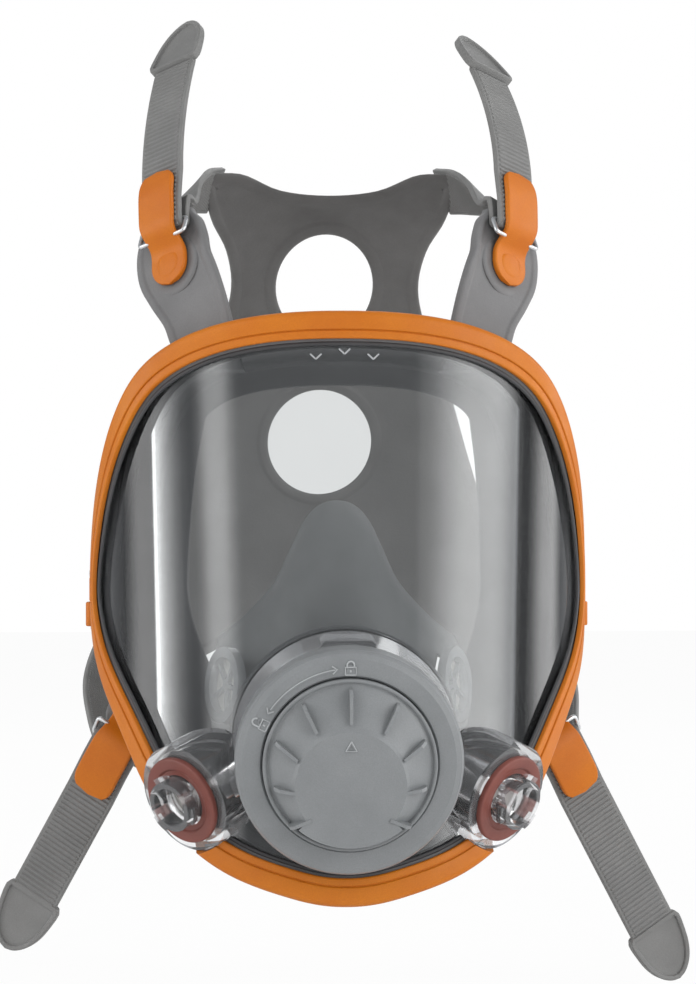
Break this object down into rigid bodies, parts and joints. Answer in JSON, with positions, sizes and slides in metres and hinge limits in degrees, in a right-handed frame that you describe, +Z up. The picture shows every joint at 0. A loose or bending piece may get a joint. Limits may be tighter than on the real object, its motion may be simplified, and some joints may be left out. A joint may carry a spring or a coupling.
{
  "type": "full face respirator",
  "caption": "Full face respirator with a clear visor in an orange frame, rubber face seal, nose cup, twist-cap exhalation port, bayonet filter ports and a buckled head harness.",
  "frame": {"origin": "on the plane of symmetry at the height of the side seam, on the line through the visor frame's widest points", "axes": "+Z up, -Y out through the visor, +Y towards the wearer, +X to the wearer's left"},
  "size_m": [0.255, 0.2533, 0.3479],
  "materials": {
    "orange_frame": "satin moulded plastic with a fine grain",
    "orange_plastic": "smooth moulded plastic",
    "clear_visor": "clear hard-coated polycarbonate",
    "grey_rubber": "matte silicone rubber",
    "harness_rubber": "matte rubber, faintly mottled",
    "strap_rubber": "matte rubber with cross ribs",
    "grey_plastic": "fine-grained moulded plastic",
    "black_plastic": "satin moulded plastic",
    "black_rubber": "smooth rubber",
    "valve_rubber": "thin smooth silicone",
    "brown_gasket": "smooth rubber gasket",
    "steel": "bright wire and turned screws"
  },
  "bodies": {
    "facepiece": {"frame_upper": "orange_frame", "frame_lower": "orange_frame", "frame_screws": "steel", "frame_nuts": "steel", "visor_lens": "clear_visor", "face_seal": "grey_rubber", "cover_ring": "grey_plastic", "centre_adapter": "black_plastic", "adapter_gasket": "black_rubber", "adapter_lock_ring": "black_plastic", "exhalation_seat": "black_plastic", "nose_cup": "grey_rubber", "port_gasket_left": "brown_gasket", "nose_cup_seat_left": "black_plastic", "buckle_stud_upper_left": "steel", "buckle_stud_lower_left": "steel", "port_gasket_right": "brown_gasket", "nose_cup_seat_right": "black_plastic", "buckle_stud_upper_right": "steel", "buckle_stud_lower_right": "steel"},
    "twist_cap": {"twist_cap": "grey_plastic", "cap_o_ring": "black_rubber"},
    "exhalation_flap": {"exhalation_flap": "valve_rubber"},
    "inhalation_flap_left": {"inhalation_flap_left": "valve_rubber"},
    "nose_cup_flap_left": {"nose_cup_flap_left": "valve_rubber"},
    "inhalation_flap_right": {"inhalation_flap_right": "valve_rubber"},
    "nose_cup_flap_right": {"nose_cup_flap_right": "valve_rubber"},
    "head_harness": {"head_harness": "harness_rubber"},
    "buckle_upper_left": {"buckle_upper_left": "orange_plastic"},
    "bail_upper_left": {"bail_upper_left": "steel"},
    "strap_upper_left": {"strap_upper_left": "strap_rubber"},
    "buckle_upper_right": {"buckle_upper_right": "orange_plastic"},
    "bail_upper_right": {"bail_upper_right": "steel"},
    "strap_upper_right": {"strap_upper_right": "strap_rubber"},
    "buckle_lower_left": {"buckle_lower_left": "orange_plastic"},
    "bail_lower_left": {"bail_lower_left": "steel"},
    "strap_lower_left": {"strap_lower_left": "strap_rubber"},
    "buckle_lower_right": {"buckle_lower_right": "orange_plastic"},
    "bail_lower_right": {"bail_lower_right": "steel"},
    "strap_lower_right": {"strap_lower_right": "strap_rubber"}
  },
  "joints": [
    {"name": "cap_turn", "type": "hinge", "parent": "facepiece", "child": "twist_cap", "pos_m": [0, -0.086, -0.05], "axis": [0, -0.9903, -0.1392], "range_deg": [0, 65]},
    {"name": "exhalation_flap_lift", "type": "slide", "parent": "facepiece", "child": "exhalation_flap", "axis": [0, -0.9903, -0.1392], "range_m": [0, 0.0012]},
    {"name": "inhalation_flap_left_lift", "type": "slide", "parent": "facepiece", "child": "inhalation_flap_left", "axis": [0.6794, 0.6555, 0.3297], "range_m": [0, 0.0015]},
    {"name": "nose_cup_flap_left_lift", "type": "slide", "parent": "facepiece", "child": "nose_cup_flap_left", "axis": [0.9033, 0.4215, -0.0803], "range_m": [0, 0.0015]},
    {"name": "inhalation_flap_right_lift", "type": "slide", "parent": "facepiece", "child": "inhalation_flap_right", "axis": [-0.6794, 0.6555, 0.3297], "range_m": [0, 0.0015]},
    {"name": "nose_cup_flap_right_lift", "type": "slide", "parent": "facepiece", "child": "nose_cup_flap_right", "axis": [-0.9033, 0.4215, -0.0803], "range_m": [0, 0.0015]},
    {"name": "harness_tighten", "type": "slide", "parent": "facepiece", "child": "head_harness", "axis": [0, -1, 0], "range_m": [0, 0.02]},
    {"name": "buckle_upper_left_swivel", "type": "hinge", "parent": "facepiece", "child": "buckle_upper_left", "pos_m": [-0.0575, -0.018, 0.1157], "axis": [0.669, 0.694, -0.266], "range_deg": [-8, 8]},
    {"name": "bail_upper_left_swing", "type": "hinge", "parent": "buckle_upper_left", "child": "bail_upper_left", "pos_m": [-0.06115, -0.0186, 0.12471], "axis": [0.7431, -0.6167, 0.2599], "range_deg": [-8, 12]},
    {"name": "strap_upper_left_pull", "type": "slide", "parent": "buckle_upper_left", "child": "strap_upper_left", "axis": [-0.0163, 0.3715, 0.9283], "range_m": [0, 0.019], "deforming": ["strap_upper_left"]},
    {"name": "buckle_upper_right_swivel", "type": "hinge", "parent": "facepiece", "child": "buckle_upper_right", "pos_m": [0.0575, -0.018, 0.1157], "axis": [0.669, -0.694, 0.266], "range_deg": [-8, 8]},
    {"name": "bail_upper_right_swing", "type": "hinge", "parent": "buckle_upper_right", "child": "bail_upper_right", "pos_m": [0.06115, -0.0186, 0.12471], "axis": [0.7431, 0.6167, -0.2599], "range_deg": [-8, 12]},
    {"name": "strap_upper_right_pull", "type": "slide", "parent": "buckle_upper_right", "child": "strap_upper_right", "axis": [0.0163, 0.3715, 0.9283], "range_m": [0, 0.019], "deforming": ["strap_upper_right"]},
    {"name": "buckle_lower_left_swivel", "type": "hinge", "parent": "facepiece", "child": "buckle_lower_left", "pos_m": [-0.069, -0.004, -0.038], "axis": [0.3519, 0.9347, 0.05], "range_deg": [-8, 8]},
    {"name": "bail_lower_left_swing", "type": "hinge", "parent": "buckle_lower_left", "child": "bail_lower_left", "pos_m": [-0.07465, -0.0071, -0.0453], "axis": [-0.8131, 0.2788, 0.511], "range_deg": [-8, 12]},
    {"name": "strap_lower_left_pull", "type": "slide", "parent": "buckle_lower_left", "child": "strap_lower_left", "axis": [-0.4637, 0.2205, -0.8581], "range_m": [0, 0.019], "deforming": ["strap_lower_left"]},
    {"name": "buckle_lower_right_swivel", "type": "hinge", "parent": "facepiece", "child": "buckle_lower_right", "pos_m": [0.069, -0.004, -0.038], "axis": [0.3519, -0.9347, -0.05], "range_deg": [-8, 8]},
    {"name": "bail_lower_right_swing", "type": "hinge", "parent": "buckle_lower_right", "child": "bail_lower_right", "pos_m": [0.07465, -0.0071, -0.0453], "axis": [-0.8131, -0.2788, -0.511], "range_deg": [-8, 12]},
    {"name": "strap_lower_right_pull", "type": "slide", "parent": "buckle_lower_right", "child": "strap_lower_right", "axis": [0.4637, 0.2205, -0.8581], "range_m": [0, 0.019], "deforming": ["strap_lower_right"]}
  ],
  "couplings": [
    {"joint": "strap_upper_left_pull", "follows": "harness_tighten", "ratio": 0.95},
    {"joint": "strap_upper_right_pull", "follows": "harness_tighten", "ratio": 0.95},
    {"joint": "strap_lower_left_pull", "follows": "harness_tighten", "ratio": 0.95},
    {"joint": "strap_lower_right_pull", "follows": "harness_tighten", "ratio": 0.95}
  ]
}
